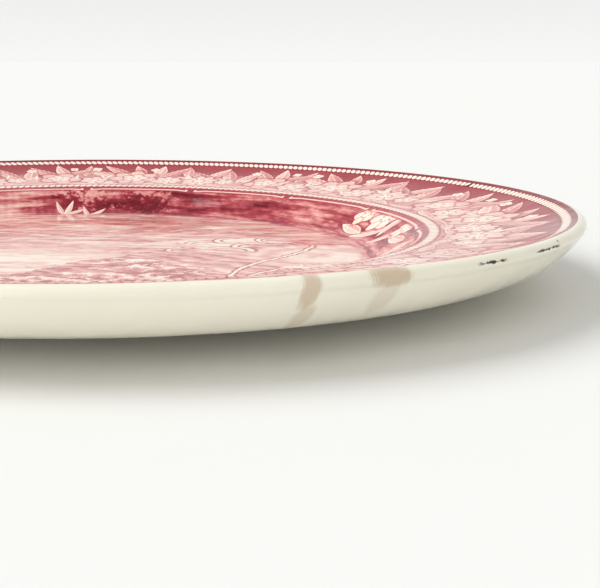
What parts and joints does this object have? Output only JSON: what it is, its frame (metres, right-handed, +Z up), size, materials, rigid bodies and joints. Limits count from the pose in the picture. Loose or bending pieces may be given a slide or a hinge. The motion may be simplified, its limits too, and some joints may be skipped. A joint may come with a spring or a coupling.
{
  "type": "china serving platter",
  "caption": "Oval earthenware serving platter with a rolled lip, sloping rim, shallow well, low foot ring and a crimson transfer-printed border and centre under clear glaze.",
  "frame": {"origin": "centre of the oval, on the surface that the foot ring stands on", "axes": "+X along the platter's length, +Y across its width, +Z up out of the well"},
  "size_m": [0.406, 0.3192, 0.03],
  "materials": {
    "biscuit": "unglazed fired clay, matt",
    "clear_glaze": "clear gloss glaze",
    "cream_glaze": "cream gloss glaze, lightly crazed and stained",
    "centre_colour": "crimson line print on cream, under gloss glaze",
    "border_colour": "crimson stipple print on cream, under gloss glaze"
  },
  "bodies": {
    "root": {"biscuit_body": "biscuit", "front_glaze": "clear_glaze", "back_glaze": "cream_glaze", "base_glaze": "cream_glaze", "centre_print": "centre_colour", "border_print_1": "border_colour", "border_print_2": "border_colour", "border_print_3": "border_colour", "border_print_4": "border_colour", "border_print_5": "border_colour", "border_print_6": "border_colour", "border_print_7": "border_colour", "border_print_8": "border_colour"}
  },
  "joints": []
}
